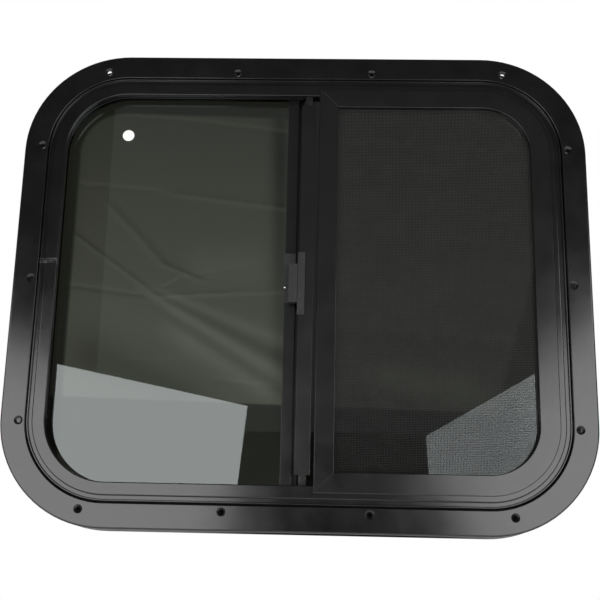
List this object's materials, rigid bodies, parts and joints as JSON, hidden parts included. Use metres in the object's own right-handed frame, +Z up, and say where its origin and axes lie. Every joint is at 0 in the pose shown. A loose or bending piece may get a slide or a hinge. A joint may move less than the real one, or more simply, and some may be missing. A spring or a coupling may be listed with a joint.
{
  "type": "caravan window",
  "caption": "Sliding caravan window: bent black frame with a clamp ring, a fixed tinted pane, a latched sliding sash and a framed insect screen.",
  "frame": {"origin": "middle of the bottom run of the outside flange, on the face that is sealed to the wall", "axes": "+Z up, +X to the right as seen from the room, -Y towards the room, +Y outdoors"},
  "size_m": [0.564, 0.038, 0.4761],
  "materials": {
    "black_frame": "satin black powder coat on extruded aluminium",
    "black_ring": "satin black powder coat on extruded aluminium",
    "black_screen_frame": "satin black paint on roll-formed aluminium",
    "bare_aluminium": "mill finish",
    "tinted_glass": "privacy-tinted toughened glass",
    "black_rubber": "matt extruded rubber",
    "pile": "woven pile",
    "black_plastic": "satin moulded plastic",
    "plated_steel": "zinc plated",
    "insect_mesh": "coated glass-fibre weave"
  },
  "bodies": {
    "root": {"main_frame": "black_frame", "frame_joint_plate": "bare_aluminium", "clamp_ring": "black_ring", "fixed_glass": "tinted_glass", "fixed_glass_seal": "black_rubber", "setting_block_left": "black_rubber", "setting_block_right": "black_rubber", "mullion": "black_frame", "mullion_pile": "pile", "sash_glass": "tinted_glass", "sash_stile": "black_frame", "sash_guide_top": "black_plastic", "sash_guide_bottom": "black_plastic", "sash_run_channel": "black_rubber", "sash_stop_top": "black_rubber", "sash_stop_bottom": "black_rubber", "latch_plate": "black_plastic", "latch_thumb_slide": "black_plastic", "latch_pin": "plated_steel", "latch_keeper": "black_plastic", "screen_frame": "black_screen_frame", "screen_stile": "black_screen_frame", "screen_key_top": "black_plastic", "screen_key_bottom": "black_plastic", "screen_spline": "black_rubber", "screen_mesh": "insect_mesh"}
  },
  "joints": []
}
